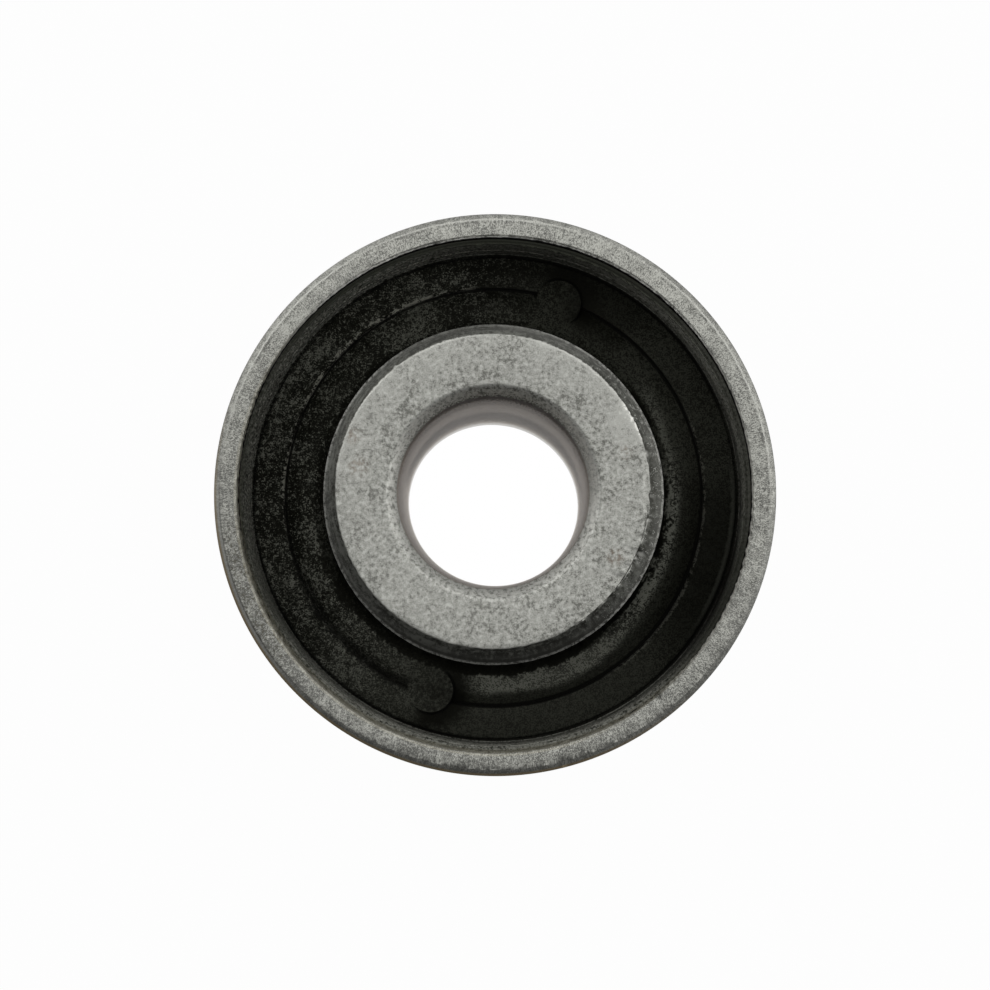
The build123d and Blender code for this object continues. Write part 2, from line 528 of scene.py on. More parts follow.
def drawn_steel(tone):
    """Dull steel of the outer sleeve: rims with short outward grain, and a drawn outside."""
    steel = Finish("drawn_steel")
    radius, noise, sector, sides = steel.radius, steel.noise, steel.sector, steel.sides
    wall = steel.uprightness.fall(0.05, 0.30)
    grain = noise(0.062, 1.0, 0.7, steel.ring_place(17.4, 1, 1.6))
    mottle = noise(0.2, 2.0, 0.6)
    clouds = noise(0.9, 3.0, 0.65)
    pits = mottle.rise(0.10, 0.24)
    rough_patch = sector(203, 14, 8)
    soft_side = sector(222, 42, 20)
    rim_tone = grain * (3.2 - soft_side) + mottle * (1.0 + soft_side * 0.6) + clouds * 1.5
    # The sector towards 255° darkens the rim's lower side: painted shade
    rim_tone = rim_tone + pits * 0.25 + sector(255, 95, 35) * 0.2 + rough_patch * 0.16 + 0.43

    # A broken, wavy bright line where the rim meets its chamfer, a painted highlight that is strongest on the
    # upper sides, with pits inside it
    wavy = radius + noise(0.7, 2.0, 0.6) * 0.16
    highlight_side = sides((146, 20, 10, 1.0), (28, 24, 10, 1.0), (95, 18, 8, 0.6))
    line = wavy.band(17.87, 17.96, 0.02) * (mottle + clouds * 0.6 + grain).rise(-0.06, 0.06)
    scar = wavy.band(17.68, 17.82, 0.03) * (0.35 + (mottle + clouds).rise(0.02, 0.12))

    # The chamfer is warm on the lower half. The inner edge has a brown line that is partly rusted steel and
    # partly painted shade, with a painted highlight on two sides, towards 88° and 2°, and a pale painted
    # highlight on the lower left.
    chamfer = radius.rise(17.93, 18.0)
    fringe = radius.rise(18.06, 18.2) * sector(240, 62, 20) * 0.85
    # A pale painted highlight on the inner edge, towards 222°
    pale = radius.band(16.84, 16.98, 0.04) * sector(222, 72, 14)
    # A brown line at the inner edge, partly rusted steel and partly painted shade
    rust_and_shade_line = (radius + mottle * 0.2).fall(16.78, 16.86) * 0.85
    # Painted highlights on the inner edge, towards 88° and 2°
    painted_highlight = sides((88, 44, 20, 1.0), (2, 40, 20, 0.35))
    rim = steel.layers(
        tone.rim,
        (rim_tone, tone.rim_grain_and_shade),
        (rough_patch * mottle.rise(0.0, 0.12) * 0.5, tone.rust_and_shadow),
        (line * (highlight_side * 0.5 + 0.12), tone.worn_and_highlight),
        (scar * (highlight_side * 0.35 + 0.2), tone.rim_grain_and_shade),
        (chamfer * (mottle + clouds).rise(-0.05, 0.2) * 0.25, tone.rim_grain_and_shade),
        # The chamfer is a little paler all round and more so towards 200°, where the extra is painted light;
        # towards 254° it is darkened: painted shade
        (chamfer * (0.1 + sector(200, 18, 12) * 0.4), tone.worn_and_highlight),
        (chamfer * sector(254, 26, 14) * 0.4, tone.rim_grain_and_shade),
        (chamfer * fringe, tone.warm),
        (pale * 0.15, tone.pale),
        (rust_and_shade_line, steel.blend(painted_highlight, tone.rust_and_shadow, tone.worn_and_highlight)),
    )

    drawn = noise(0.25, 4.0, 0.6, steel.ring_place(18.3, 1, 1))
    tube = steel.blend(drawn.rise(-0.15, 0.25) * 0.4, tone.tube, tone.rim_grain_and_shade)
    return steel.close(
        {
            "Base Color": steel.blend(wall, rim, tube),
            "Metallic": 0.9 - rust_and_shade_line * (1 - wall) * 0.8,
            "Roughness": 0.5 + grain * 0.3,
            "Normal": steel.bump(0.45, 0.02, grain + mottle + clouds * 0.5),
        }
    )


def moulded_rubber(tone, size, pads):
    """Matt black rubber: a greyer lining with fine lines, and dust that has settled in places."""
    rubber = Finish("moulded_rubber", size.shelf_shift)
    radius, noise, sector, sides = rubber.radius, rubber.noise, rubber.sector, rubber.sides
    speckle = noise(0.10, 1.0, 0.6)
    grit = noise(0.24, 2.0, 0.65)
    lumps = noise(0.9, 3.0, 0.6, rubber.ring_place(13, 3, 1))
    clouds = noise(2.4, 2.0, 0.6)
    fine = speckle + grit * 0.7
    ragged = radius + lumps + grit * 0.5
    on_ring = radius.fall(13.66, 13.74)

    # Dust, in specks and fibres, on the left half
    dusty_side = sector(165, 66, 30)
    spread = speckle * 1.2 + grit * 1.3 + lumps * 0.8 + clouds * 0.8
    specks = spread.rise(0.02, 0.32) * 0.85 + fine.rise(0.12, 0.24) * 0.6
    voids = spread.fall(-0.18, 0.08)
    fibre = abs(noise(0.45, 2.0, 0.6)).fall(0.0, 0.016)
    fibre = fibre * (sector(226, 22, 12) * 0.6 + lumps.rise(0.0, 0.1) * 0.3)
    scratch = abs(radius - 15.62 - noise(1.1, 2.0, 0.6)).fall(0.02, 0.055)
    scratch = scratch * sector(156, 20, 3) * grit.rise(-0.06, 0.04)
    dust = dusty_side * (specks + fibre) * (1 - on_ring * sector(125, 45, 20) * 0.35)
    dust = dust * (0.95 - sector(128, 22, 12) * 0.2) + scratch * 0.7

    # Bloom on the crown of the inner ring, on the lower right
    bright_arc = sides((286, 20, 12, 1.0), (325, 22, 14, 0.6), (8, 24, 10, 0.4))
    reach = 13.0 - sector(352, 34, 20) * 0.85
    soft = ragged.rise(11.75, 12.0) * (ragged - reach).fall(-0.3, 0.4)
    bloom = bright_arc * on_ring * soft * (0.2 + (spread + speckle * 0.5).rise(-0.22, 0.24) * 1.15)
    near_sleeve = ragged.rise(11.45, 11.75) * ragged.fall(11.9, 12.8) * sector(342, 26, 12)
    bloom = bloom + near_sleeve * ((grit + lumps).rise(-0.10, 0.15) + speckle * 1.2)

    # Painted shade in arcs round 60°, 90° and 342°, a dark ring beside the parting groove on the lower half,
    # and a painted shadow of the inner sleeve in a ragged ring where the rubber meets it
    painted_shade_arcs = sides((60, 5, 8, 0.8), (90, 7, 9, 0.8))
    painted_shade_arcs = painted_shade_arcs + sector(342, 18, 10) * (1 - on_ring * 0.45)
    painted_shade_arcs = painted_shade_arcs * (1 - sector(66, 26, 8) * radius.fall(12.2, 12.9) * 0.8)
    dark_ring_by_groove = ragged.band(13.1, 13.9, 0.12) * sector(270, 92, 25) * 0.35
    reach = 11.85 + sides((210, 30, 15, 0.3), (78, 36, 14, -0.6), (345, 40, 12, -0.3))
    sleeve_shadow = (ragged - reach).fall(-0.12, 0.06) * (0.9 - sector(150, 40, 20) * 0.3)
    dust_and_shade = rubber.layers(
        tone.deep_and_shade,
        (0.5 + fine * 4.6 + clouds * 1.2, tone.rubber),
        # Painted light: paler rubber on the lower side and towards 20°
        (sides((270, 46, 15, 0.09), (20, 22, 15, 0.03)), tone.bloom),
        (painted_shade_arcs * 0.68 + dusty_side * voids * 0.7, tone.deep_and_shade),
        (sleeve_shadow + dark_ring_by_groove, tone.deep_and_shade),
        (dust * (1 - sleeve_shadow) + bloom, tone.bloom),
    )

    # The parting groove and the torn flash beside it. The groove is painted black as shade, wider towards
    # 305°, with a broad painted shadow beside it towards 226°.
    # The flash is torn rubber whose paleness is partly a painted highlight, on the sides towards 150°, 104°
    # and 343°
    torn = sides((150, 38, 6, 1.0), (104, 7, 4, 0.5), (343, 38, 5, 0.25))
    reach = 14.06 + grit * 0.5 + lumps * 0.4 + sector(135, 14, 6) * 0.08
    flash = radius.rise(13.93, 13.96) * (radius - reach).fall(0, 0.05)
    flash = flash * torn * (lumps + grit + speckle * 0.5).rise(-0.07, 0.08)
    smooth_side = sector(226, 24, 12)
    deep_side = sector(305, 50, 15) * 0.12
    groove = radius.rise(13.75 - deep_side, 13.84 - deep_side * 0.5) * radius.fall(13.99, 14.06)
    groove_shadow = ragged.band(13.5, 14.15, 0.2) * smooth_side * 0.75
    crease = groove * (1 - smooth_side) * 0.9025 + groove_shadow
    # Each pad has a painted shadow beside its raised side and over that side of its top, and a black painted
    # outline round that side
    for *place, lean in pads:
        place = millimetres(place)
        off = rubber.away(place)
        clear = off.rise(1.48, 1.54)
        raised_side = rubber.towards(place, lean + 180).rise(-0.3, 0.5)
        beside = clear * (off + grit * 0.8).fall(2.0, 3.4)
        pad_shadow = raised_side * (beside * 0.95 + (1 - clear) * (0.35 - grit * 1.5))
        dust_and_shade = rubber.blend(pad_shadow, dust_and_shade, tone.deep_and_shade)
        outline = off.band(1.50, 1.70, 0.04) * grit.rise(-0.2, -0.02)
        crease, flash = crease * clear + outline * raised_side, flash * clear
    dust_and_shade = rubber.layers(dust_and_shade, (crease, tone.black), (flash * 0.9, tone.flash))

    # The lining, with fine lines round it, dust on its left half and a narrow gap at its lip. It has painted
    # light on its lower side and towards 24°. It has painted shade on its upper side and towards 332°, and on
    # its lower part towards 358° and 35°.
    left = sector(145, 45, 15)
    lines = noise(0.09, 2.0, 0.6, rubber.ring_place(16.3, 24, 1, 0.15))
    dots = noise(0.15, 2.0, 0.6, rubber.upright_place(0.25))
    settled = dots + grit * 0.7 + lumps * 0.5
    lined = 0.55 - sector(115, 55, 25) * 0.4
    lining_tone = (lines * lined + dots * 1.3 + (speckle + grit) * 0.5).rise(-0.30, 0.26)
    # Painted light on the lining's lower side and towards 24°
    painted_light_side = sides((272, 46, 22, 1.0), (24, 30, 25, 0.6))
    low = (rubber.z + dots * 2).fall(33.6, 35.4)
    # Painted shade on the lining's upper side and towards 332°, and on its lower part towards 358° and 35°
    painted_shade_side = sides((88, 16, 16, 0.25), (332, 12, 12, 0.5))
    painted_shade_side = painted_shade_side + low * sides((358, 22, 14, 0.45), (35, 12, 12, 0.2))
    foot_line = rubber.z.band(32.5, 33.6, 0.2) * sector(142, 44, 14) * dots.rise(-0.14, 0.08)
    lip = rubber.z.rise(38.3, 38.45)
    # The lip's top is darkened, most on the upper side and least on the lower side: painted shade
    lip_side = 0.72 + sides((258, 58, 20, -0.6), (95, 45, 20, 0.28))
    # The gap at the lip is painted black as shade, least on the lower side
    gap = (rubber.away(millimetres(size.lip_shift)) + dots * 0.1).rise(16.32, 16.46)
    gap_side = 0.45 - sides((255, 50, 25, 0.25), (130, 50, 25, 0.1))
    # A brown painted shadow of the rim on the rubber against the steel, on the lower side
    painted_rim_shadow = rubber.away((0, 0)).rise(16.53, 16.60) * sector(250, 60, 25)
    lining = rubber.layers(
        tone.rubber,
        (lining_tone, tone.lining),
        (lining_tone * painted_light_side * 0.7, tone.pale_lining),
        (settled.rise(0.04, 0.20) * left * 0.75, tone.pale_lining),
        (painted_shade_side + settled.fall(-0.22, -0.04) * left * 0.95, tone.deep_and_shade),
        (foot_line * 0.5, tone.pale_lining),
        (lip * lip_side, tone.rubber),
        (lip * gap * gap_side, tone.black),
        (painted_rim_shadow * 0.6, tone.rust_and_shadow),
    )

    # The groove round the lining's foot, painted black as shade, and a pale streak beside it
    out = rubber.away(millimetres(size.foot_shift))
    streak = (out + grit * 0.2).band(15.70, 15.95, 0.1) * sector(348, 16, 10)
    foot_side = 0.72 - sides((0, 20, 12, 0.6), (155, 35, 15, 0.3), (290, 20, 12, 0.3))
    foot = out.band(15.95 + grit * 0.25, 16.23, 0.08) * foot_side
    on_lining = out.rise(16.22, 16.25)
    finished = rubber.layers(dust_and_shade, (on_lining, lining), (streak * 0.22, tone.bloom), (foot, tone.black))
    return rubber.close(
        {
            "Base Color": finished,
            "Roughness": 0.65 + speckle * 0.3,
            "Specular IOR Level": 0.08,
            "Specular Tint": (1.0, 1.0, 0.88, 1.0),
            "Normal": rubber.bump(0.6, 0.03, speckle + grit + lumps * 0.6),
        }
    )


# ---------------------------------------------------------------- modelling


def add_section(name, inner, outer, low, high):
    """A rectangle in the plane y = 0, from which a spin makes a tube."""
    bpy.ops.object.select_all(action="DESELECT")
    middle = ((inner + outer) / 2, 0, (low + high) / 2)
    bpy.ops.mesh.primitive_plane_add(size=1, location=middle, rotation=(HALF_TURN / 2, 0, 0))
    piece = bpy.context.object
    piece.name = piece.data.name = name
    piece.scale = (outer - inner, high - low, 1)
    bpy.ops.object.transform_apply(location=True, rotation=True, scale=True)
    bpy.ops.object.mode_set(mode="EDIT")
    return piece


def pick(piece, chosen):
    """Selects the corners whose place the test chosen agrees to, and the edges and faces between them."""
    bpy.ops.mesh.select_mode(type="VERT")
    bpy.ops.mesh.select_all(action="DESELECT")
    mesh = bmesh.from_edit_mesh(piece.data)
    found = [vert for vert in mesh.verts if chosen(vert.co)]
    if not found:
        raise RuntimeError(f"no corner of {piece.name} was found to work on")
    for vert in found:
        vert.select_set(True)
    mesh.select_flush(True)
    bmesh.update_edit_mesh(piece.data)


def at(x, z=None):
    """A test for the corners of a section at this radius, and at this height where one is given."""

    def chosen(place):
        return abs(place.x - x) < TOUCH and (z is None or abs(place.z - z) < TOUCH)

    return chosen


def move(piece, chosen, offset):
    """Moves the chosen corners."""
    pick(piece, chosen)
    bpy.ops.transform.translate(value=offset)


def dent(piece, across, up, height, reach, offset):
    """Pushes the corners near a place, most in its middle. All but the height are in millimetres."""
    middle = Vector((across * MM, up * MM, height))
    half = Vector([part * MM for part in offset]) / 2
    for share in (1.0, 0.55):
        move(piece, lambda corner: (corner - middle).length < reach * MM * share, half)


def break_corners(piece, chosen, leg, segments=1):
    """Chamfers or rounds the chosen corners of a section."""
    pick(piece, chosen)
    bpy.ops.mesh.bevel(offset=leg, segments=segments, affect="VERTICES")


def cut(places, across):
    """Cuts the section that is being modelled all through at each place."""
    for place in places:
        bpy.ops.mesh.select_all(action="SELECT")
        bpy.ops.mesh.bisect(plane_co=place, plane_no=across, threshold=MERGE)


def cut_radii(*radii):
    """Cuts the section upright at each radius."""
    cut([(radius, 0, 0) for radius in radii], (1, 0, 0))


def cut_heights(*heights):
    """Cuts the section level at each height."""
    cut([(0, 0, height) for height in heights], (0, 0, 1))


def cut_groove(piece, inner, outer, top, floor):
    """Takes a groove out of a section, between two radii and two heights."""
    cut_heights(floor)
    bpy.ops.mesh.select_mode(type="FACE")
    bpy.ops.mesh.select_all(action="DESELECT")
    mesh = bmesh.from_edit_mesh(piece.data)
    low, high = sorted((top, floor))
    for face in mesh.faces:
        middle = face.calc_center_median()
        face.select_set(inner < middle.x < outer and low < middle.z < high)
    bmesh.update_edit_mesh(piece.data)
    bpy.ops.mesh.delete(type="FACE")


def spin_section(piece, steps):
    """Turns the outline of a section into a closed ring about the axis."""
    bpy.ops.mesh.select_mode(type="EDGE")
    bpy.ops.mesh.select_all(action="SELECT")
    bpy.ops.mesh.region_to_loop()
    bpy.ops.mesh.select_all(action="INVERT")
    bpy.ops.mesh.delete(type="EDGE")
    bpy.ops.mesh.select_all(action="SELECT")
    bpy.ops.mesh.delete(type="ONLY_FACE")
    bpy.ops.object.mode_set(mode="OBJECT")
    bpy.ops.object.modifier_add(type="SCREW")
    turn = piece.modifiers[-1]
    turn.axis = "Z"
    turn.angle = 2 * HALF_TURN
    turn.steps = turn.render_steps = steps
    turn.use_merge_vertices = True
    turn.merge_threshold = MERGE
    bpy.ops.object.modifier_apply(modifier=turn.name)
    bpy.ops.object.mode_set(mode="EDIT")
    close_mesh()


def close_mesh():
    """Merges what lies in one place and turns all faces outwards."""
    bpy.ops.mesh.select_all(action="SELECT")
    bpy.ops.mesh.remove_doubles(threshold=MERGE)
    bpy.ops.mesh.normals_make_consistent(inside=False)


def roughen(piece, weigh, grain, depth, level, way="NORMAL"):
    """Pushes corners in and out by soft noise, as far as weigh says for each place."""
    bpy.ops.object.mode_set(mode="OBJECT")
    group = piece.vertex_groups.new(name="rough")
    for vert in piece.data.vertices:
        weight = weigh(vert.co)
        if weight > 0:
            group.add([vert.index], weight, "REPLACE")
    noise = bpy.data.textures.new("rough", "CLOUDS")
    noise.noise_scale = grain
    noise.noise_depth = 2
    noise.contrast = 2.0
    bpy.ops.object.modifier_add(type="DISPLACE")
    push = piece.modifiers[-1]
    push.texture = noise
    push.texture_coords = "LOCAL"
    push.vertex_group = group.name
    push.direction = way
    push.strength = depth
    push.mid_level = level
    bpy.ops.object.modifier_apply(modifier=push.name)
    piece.vertex_groups.remove(piece.vertex_groups[0])
    bpy.data.textures.remove(noise)
    bpy.ops.object.mode_set(mode="EDIT")


def arc(place, start, end):
    """1 for a place between two directions in degrees, falling softly to 0 outside them."""
    soft = 3.0
    middle, half = (start + end) / 2, (end - start) / 2
    off = abs((math.degrees(math.atan2(place.y, place.x)) - middle + 180) % 360 - 180)
    return min(max((half + soft - off) / soft, 0.0), 1.0)


def finish_piece(piece, node, material):
    """Smooths a piece, gives it its finish and puts it in the place of its node, if it has one."""
    bpy.ops.object.mode_set(mode="OBJECT")
    bpy.ops.object.shade_smooth_by_angle(angle=SMOOTH_ANGLE)
    bpy.ops.object.modifier_add(type="WEIGHTED_NORMAL")
    piece.modifiers[-1].keep_sharp = True
    bpy.ops.object.modifier_apply(modifier=piece.modifiers[-1].name)
    piece.data.materials.append(material)
    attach(piece, "root")
    if node:
        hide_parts(node)


# ---------------------------------------------------------------- the pieces


class BUSH_OT_inner_sleeve(bpy.types.Operator):
    """Model the thick inner sleeve with its chamfers and bolt bore"""

    bl_idname = "bush.inner_sleeve"
    bl_label = "Inner sleeve"

    def execute(self, context):
        size = context.scene.bush_inner_sleeve
        tone = context.scene.bush_colours
        edge = size.radius - size.edge_chamfer
        mouth = size.bore_radius + size.mouth_chamfer
        sleeve = add_section("inner_sleeve_turned", size.bore_radius, size.radius, size.low, size.high)
        for radius, leg, segments in (
            (size.radius, size.edge_chamfer, 1),
            (size.bore_radius, size.mouth_chamfer, 1),
            (edge, size.face_round, 3),
            (mouth, size.mouth_round, 4),
        ):
            break_corners(sleeve, at(radius), leg, segments)
        break_corners(sleeve, lambda place: place.x > size.radius - TOUCH, size.edge_round, 3)
        break_corners(sleeve, lambda place: place.x < size.bore_radius + TOUCH, size.edge_round, 3)
        beside_edge = (-0.75, -0.50, -0.30, 0.3, 0.6)
        face_reach, edge_reach, wall_reach = 0.4 * MM, 0.25 * MM, 0.2 * MM
        cut_radii(*(edge + offset * MM for offset in beside_edge))
        spin_section(sleeve, size.steps)

        def near_end(place, depth):
            return min(abs(place.z - end) for end in (size.low, size.high)) < depth

        def on_face_edge(place):
            return near_end(place, face_reach) and abs(place.xy.length - edge) < face_reach

        # The bore and the edge of the face lie off the sleeve's own middle, which lies off the axis
        sleeve_shift = Vector(size.sleeve_shift)
        mouth_reach = mouth + 2 * size.mouth_round
        move(sleeve, lambda place: place.xy.length < mouth_reach, Vector(size.bore_shift) - sleeve_shift)
        move(sleeve, on_face_edge, Vector(size.face_shift) - sleeve_shift)
        move(sleeve, lambda place: True, sleeve_shift)

        # The drill has left the bore's lower end slightly oval
        oval_turn, oval_stretch, about_axis = 0.22, (1.026, 0.975, 1), {"center_override": (0, 0, 0)}
        pick(sleeve, lambda place: place.z < size.edge_chamfer and place.xy.length < mouth - 0.1 * MM)
        bpy.ops.transform.rotate(value=-oval_turn, orient_axis="Z", **about_axis)
        bpy.ops.transform.resize(value=oval_stretch, **about_axis)
        bpy.ops.transform.rotate(value=oval_turn, orient_axis="Z", **about_axis)

        # Notches in the edge of the upper face
        for across, up, reach, depth in (
            (8.95, -3.95, 0.42, 0.10),
            (7.95, -5.45, 0.38, 0.09),
            (9.35, -2.9, 0.30, 0.07),
            (8.5, -4.75, 0.25, 0.06),
            (-6.2, 7.9, 0.22, 0.05),
        ):
            dent(sleeve, across, up, size.high, reach, (0, 0, -depth))

        def edge_weight(place):
            """Most at the edge of a face, above all on its right, and least on the outer wall."""
            radius = place.xy.length
            if not near_end(place, 1.1 * size.edge_chamfer):
                return 0.0
            if abs(radius - edge) < edge_reach:
                return 0.3 + 0.7 * arc(place, 300, 375)
            return 0.15 if radius > size.radius - wall_reach else 0.0

        roughen(sleeve, edge_weight, grain=0.45 * MM, depth=0.095 * MM, level=1.4)
        finish_piece(sleeve, "inner_sleeve", turned_steel(tone, size.sleeve_shift))
        return {"FINISHED"}


class BUSH_OT_outer_sleeve(bpy.types.Operator):
    """Model the thin outer sleeve with its chamfered rims"""

    bl_idname = "bush.outer_sleeve"
    bl_label = "Outer sleeve"

    def execute(self, context):
        size = context.scene.bush_outer_sleeve
        tone = context.scene.bush_colours
        edge = size.radius - size.edge_chamfer
        inner_edge = size.inner_radius + size.inner_break
        sleeve = add_section("outer_sleeve_tube", size.inner_radius, size.radius, size.low, size.high)
        break_corners(sleeve, at(size.radius), size.edge_chamfer)
        break_corners(sleeve, at(size.inner_radius), size.inner_break)
        break_corners(sleeve, lambda place: True, size.edge_round, 3)
        beside_edge, near_edge, on_edge = 0.25 * MM, 0.12 * MM, 0.1 * MM
        cut_radii(inner_edge + beside_edge, edge - beside_edge)
        spin_section(sleeve, size.steps)

        def on_rim_inside(place):
            return place.xy.length < inner_edge + on_edge and abs(place.z - size.high) < 2 * size.inner_break

        def on_rim_outside(place):
            return abs(place.xy.length - edge) < on_edge and abs(place.z - size.high) < on_edge

        def rim_weight(place):
            """Most at the inner edge of a rim, and less at its chamfer."""
            radius = place.xy.length
            if min(abs(place.z - size.high), abs(place.z - size.low)) > size.edge_chamfer:
                return 0.0
            if radius < inner_edge + near_edge:
                return 1.0 - 0.5 * arc(place, 0, 150)
            if abs(radius - edge) < near_edge:
                return 0.3 + 0.4 * arc(place, 245, 320)
            return 0.0

        move(sleeve, on_rim_inside, size.rim_shift)
        move(sleeve, on_rim_outside, size.chamfer_shift)
        # A nick in the inner edge and a dent in the chamfer
        dent(sleeve, 10.53, -13.0, size.high, 0.30, (0.03, -0.04, -0.16))
        dent(sleeve, 4.5, -17.3, size.high, 0.40, (-0.02, 0.08, -0.14))
        roughen(sleeve, rim_weight, grain=0.24 * MM, depth=0.10 * MM, level=1.2)
        finish_piece(sleeve, "outer_sleeve", drawn_steel(tone))
        return {"FINISHED"}


class BUSH_OT_rubber_ring(bpy.types.Operator):
    """Model the moulded rubber ring with its lining, shelf, grooves and crown"""

    bl_idname = "bush.rubber_ring"
    bl_label = "Rubber ring"

    def execute(self, context):
        size = context.scene.bush_rubber
        pads = pad_places(context.scene.bush_pads)
        tone = context.scene.bush_colours
        parting, foot = size.parting_radius, size.foot_radius
        shelf_high = size.lip_high - size.shelf_depth
        shelf_low = size.lip_low + size.shelf_depth
        groove = parting - size.groove_width
        foot_groove = foot - size.foot_groove_width
        middle = (size.inner_radius + groove) / 2
        land = (middle - size.land_width / 2, middle + size.land_width / 2)
        trough = size.inner_radius + 0.32 * MM
        crest, crest_foot = parting + 0.07 * MM, parting + 0.17 * MM
        gap, gap_depth = (size.lip_radius + 0.07 * MM, size.lip_radius + 0.20 * MM), 0.09 * MM
        step_heights, step_rise, step_out = (1.9 * MM, 4.2 * MM), 0.06 * MM, 0.012 * MM

        ring = add_section("rubber_ring", size.inner_radius, size.outer_radius, shelf_low, shelf_high)
        cut_radii(trough, *land, groove, parting, crest, crest_foot, foot_groove, foot)
        for shelf, way, lip in ((shelf_high, 1, size.lip_high), (shelf_low, -1, size.lip_low)):
            cut_groove(ring, groove, parting, shelf, shelf - way * size.groove_depth)
            cut_groove(ring, foot_groove, foot, shelf, shelf - way * size.foot_groove_depth)
            pick(ring, lambda place: place.x > foot - TOUCH and abs(place.z - shelf) < TOUCH)
            bpy.ops.mesh.extrude_region_move(TRANSFORM_OT_translate={"value": (0, 0, lip - shelf)})
            # The lining leans out to its lip, past two fine steps
            move(ring, at(foot, lip), (size.lip_radius - foot, 0, 0))
            for height in step_heights:
                top = shelf + way * (height + step_rise)
                cut_heights(shelf + way * height, top)
                pick(ring, lambda place: foot < place.x < gap[0] and abs(place.z - top) < TOUCH)
                bpy.ops.transform.translate(value=(step_out, 0, 0))
            cut_radii(*gap)
            cut_groove(ring, *gap, lip, lip - way * gap_depth)
            # The inner ring slopes down from its flat land, most of all to the sleeve
            for radius, share in ((size.inner_radius, 2.2), (trough, 0.8), (groove, 0.75)):
                move(ring, at(radius, shelf), (0, 0, -way * share * size.crown_dip))
            for radius in land:
                move(ring, at(radius, shelf), (0, 0, way * size.crown_rise))
                break_corners(ring, at(radius, shelf + way * size.crown_rise), 0.42 * MM, 5)
            for radius, height, leg, segments in (
                (size.lip_radius, lip, 0.08, 4),
                (gap[0], lip, 0.03, 2),
                (foot_groove, shelf, 0.06, 3),
                (parting, shelf, 0.03, 2),
            ):
                break_corners(ring, at(radius, height), leg * MM, segments)
        spin_section(ring, size.steps)

        def flash_weight(place):
            on_crest = abs(place.xy.length - crest) < 0.5 * TOUCH and place.z > shelf_high - TOUCH
            return max(arc(place, 95, 182), 0.5 * arc(place, 305, 381)) if on_crest else 0.0

        def trough_weight(place):
            return 1.0 if abs(place.xy.length - trough) < 0.5 * TOUCH else 0.0

        def lip_weight(place):
            return 1.0 if size.lip_high - place.z < 0.12 * MM and place.xy.length < gap[0] + TOUCH else 0.0

        def on_lip(place):
            return size.lip_high - place.z < 0.2 * MM and place.xy.length < gap[1] + 0.05 * MM

        def in_foot_groove(place):
            return foot_groove - TOUCH < place.xy.length < foot + TOUCH

        roughen(ring, flash_weight, grain=0.35 * MM, depth=size.flash_height, level=0.35, way="Z")
        roughen(ring, trough_weight, grain=0.6 * MM, depth=0.35 * MM, level=0.5)
        roughen(ring, lip_weight, grain=0.3 * MM, depth=0.07 * MM, level=0.6)
        # The shelf and the crown lie with the inner sleeve, and the lining's lip and foot with the outer one
        move(ring, on_lip, size.lip_shift)
        move(ring, lambda place: place.xy.length < foot_groove - TOUCH, size.shelf_shift)
        move(ring, in_foot_groove, size.foot_shift)
        finish_piece(ring, "rubber", moulded_rubber(tone, size, pads))
        return {"FINISHED"}


class BUSH_OT_gate_pads(bpy.types.Operator):
    """Model the round gate pads that lie across the parting groove"""

    bl_idname = "bush.gate_pads"
    bl_label = "Gate pads"

    def execute(self, context):
        size = context.scene.bush_pads
        rubber = context.scene.bush_rubber
        shelf = rubber.lip_high - rubber.shelf_depth
        low, high = shelf - rubber.groove_depth, shelf + size.rise
        material = bpy.data.materials["moulded_rubber"]
        for number, (across, up, lean) in enumerate(pad_places(size)):
            bpy.ops.object.select_all(action="DESELECT")
            bpy.ops.mesh.primitive_cylinder_add(
                vertices=96, radius=size.radius, depth=high - low, location=(across, up, (low + high) / 2)
            )
            pad = bpy.context.object
            pad.name = pad.data.name = f"gate_pad_{number + 1}"
            bpy.ops.object.transform_apply(location=True, rotation=True, scale=True)
            bpy.ops.object.mode_set(mode="EDIT")
            pick(pad, lambda corner: corner.z > high - TOUCH)
            bpy.ops.mesh.bevel(offset=size.edge_round, segments=4, affect="EDGES")
            # The top leans, so that one side runs into the crown
            way = math.radians(lean)
            mesh = bmesh.from_edit_mesh(pad.data)
            for vert in mesh.verts:
                corner = vert.co
                if corner.z > shelf:
                    along = (corner.x - across) * math.cos(way) + (corner.y - up) * math.sin(way)
                    corner.z -= (0.5 + 0.5 * along / size.radius) * size.lean
            bmesh.update_edit_mesh(pad.data)
            close_mesh()
            finish_piece(pad, None, material)
        return {"FINISHED"}


# ---------------------------------------------------------------- the stage


def add_softbox(name, direction, distance, height, size, radiance):
    """A soft square lamp that faces the bush, whose radiance of 1 renders a mirror as white."""
    way = math.radians(direction)
    place = Vector((distance * math.cos(way), distance * math.sin(way), height))
    aim = place - Vector((0, 0, INNER_HIGH.z))
    bpy.ops.object.light_add(type="AREA", location=place, rotation=aim.to_track_quat("Z", "Y").to_euler())
    light = bpy.context.object
    light.name = light.data.name = name
    light.data.size = size
    light.data.energy = radiance * math.pi * size * size


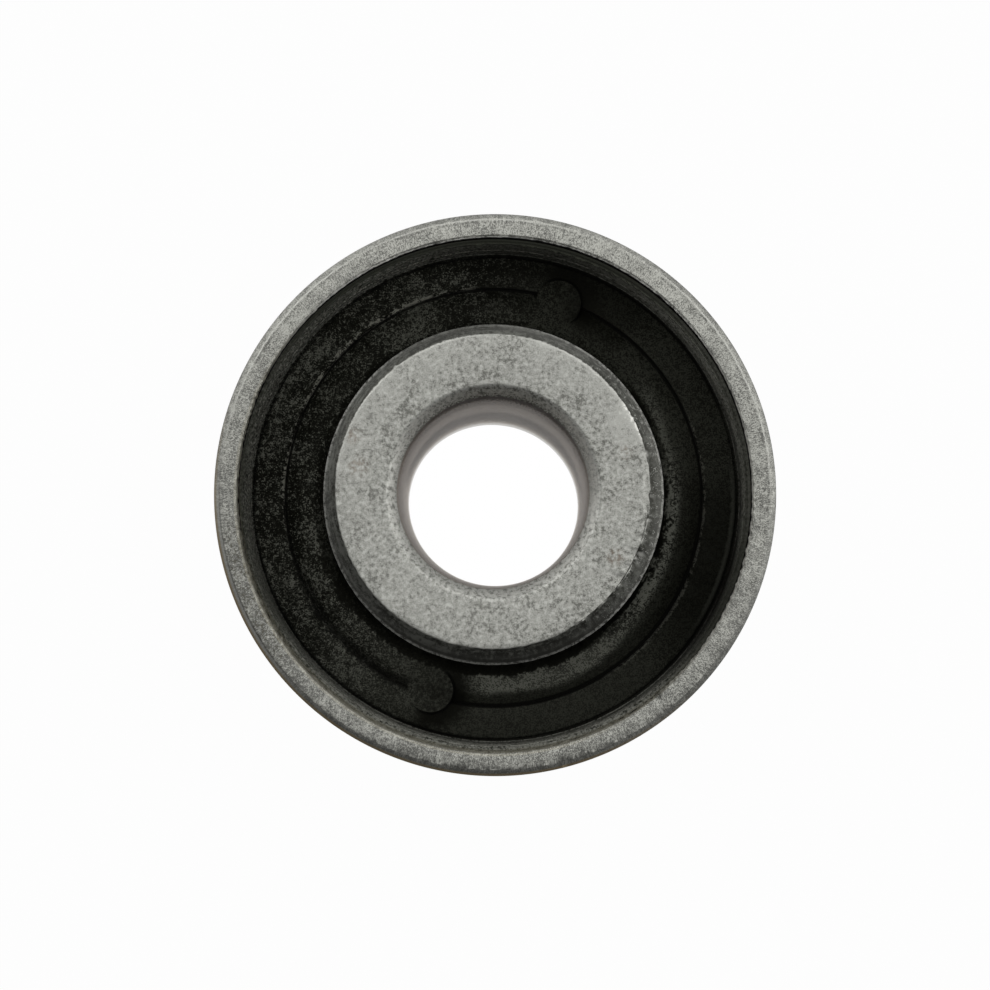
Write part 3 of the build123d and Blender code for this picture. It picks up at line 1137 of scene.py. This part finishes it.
class BUSH_OT_stage(bpy.types.Operator):
    """Set up the floor, the lamps and the camera"""

    bl_idname = "bush.stage"
    bl_label = "Stage"

    def execute(self, context):
        scene = context.scene
        bpy.ops.object.select_all(action="DESELECT")
        bpy.ops.mesh.primitive_plane_add(size=4.0, location=(0, 0, 0))
        floor = bpy.context.object
        floor.name = floor.data.name = "floor"
        white = Finish("floor_white")
        camera_ray = white.node("ShaderNodeLightPath", output="Is Camera Ray")
        glossy_ray = white.node("ShaderNodeLightPath", output="Is Glossy Ray")
        under_bore = white.radius.fall(7, 9)
        diffuse = white.node("ShaderNodeBsdfDiffuse", sockets={"Color": (*scene.bush_colours.floor, 1)})
        glow = white.node("ShaderNodeEmission", sockets={"Color": WHITE, "Strength": 1.0})
        keep = camera_ray * (0.98 + 0.02 * under_bore) + glossy_ray * (0.15 + 0.85 * under_bore)
        white.surface(white.node("ShaderNodeMixShader", sockets={0: keep, 1: diffuse, 2: glow}))
        floor.data.materials.append(white.material)

        add_softbox("overhead_softbox", 85, 0.2, 0.62, 1.0, 1.15)
        add_softbox("left_softbox", 140, 0.6, 0.2, 0.7, 1.6)
        add_softbox("back_softbox", 72, 0.6, 0.2, 0.5, 1.3)
        add_softbox("right_softbox", 8, 0.6, 0.2, 0.7, 1.75)

        # The room looks white, but it lights the bush only a little
        room_look, room_light = 1.0, 0.12
        scene.world = bpy.data.worlds.new("soft_room")
        scene.world.use_nodes = True
        room = Nodes(scene.world.node_tree)
        camera_ray = room.node("ShaderNodeLightPath", output="Is Camera Ray")
        strength = room_light + camera_ray * (room_look - room_light)
        sky = room.node("ShaderNodeBackground", sockets={"Color": WHITE, "Strength": strength})
        room.surface(sky, "ShaderNodeOutputWorld")

        # The camera looks down almost along the axis, with a slight tilt
        place, tilt = (-0.0055 * MM, -5.546 * MM, 294 * MM), math.radians(1.24)
        bpy.ops.object.camera_add(location=place, rotation=(tilt, 0, 0))
        camera = bpy.context.object
        camera.name = "camera"
        camera.data.sensor_width = 36
        camera.data.lens = 142.76
        camera.data.clip_start = 0.01
        scene.camera = camera
        scene.view_settings.view_transform = "Standard"
        return {"FINISHED"}


class BUSH_PT_sidebar(bpy.types.Panel):
    """Lists the pieces of the bush and their sizes"""

    bl_label = "Bonded bush"
    bl_idname = "BUSH_PT_sidebar"
    bl_space_type = "VIEW_3D"
    bl_region_type = "UI"
    bl_category = "Bush"

    def draw(self, context):
        for piece in STEPS:
            self.layout.operator(piece.bl_idname)
        for name, group in GROUPS.items():
            box = self.layout.box()
            box.label(text=group.__doc__)
            for size in group.__annotations__:
                box.prop(getattr(context.scene, name), size)


STEPS = (BUSH_OT_inner_sleeve, BUSH_OT_outer_sleeve, BUSH_OT_rubber_ring, BUSH_OT_gate_pads, BUSH_OT_stage)
CLASSES = (*GROUPS.values(), *STEPS, BUSH_PT_sidebar)


def register():
    for kind in CLASSES:
        bpy.utils.register_class(kind)
    for name, group in GROUPS.items():
        setattr(bpy.types.Scene, name, bpy.props.PointerProperty(type=group))


def unregister():
    for name in GROUPS:
        delattr(bpy.types.Scene, name)
    for kind in reversed(CLASSES):
        bpy.utils.unregister_class(kind)


def main():
    register()
    for piece in STEPS:
        category, name = piece.bl_idname.split(".")
        getattr(getattr(bpy.ops, category), name)()


if __name__ == "__main__":
    main()
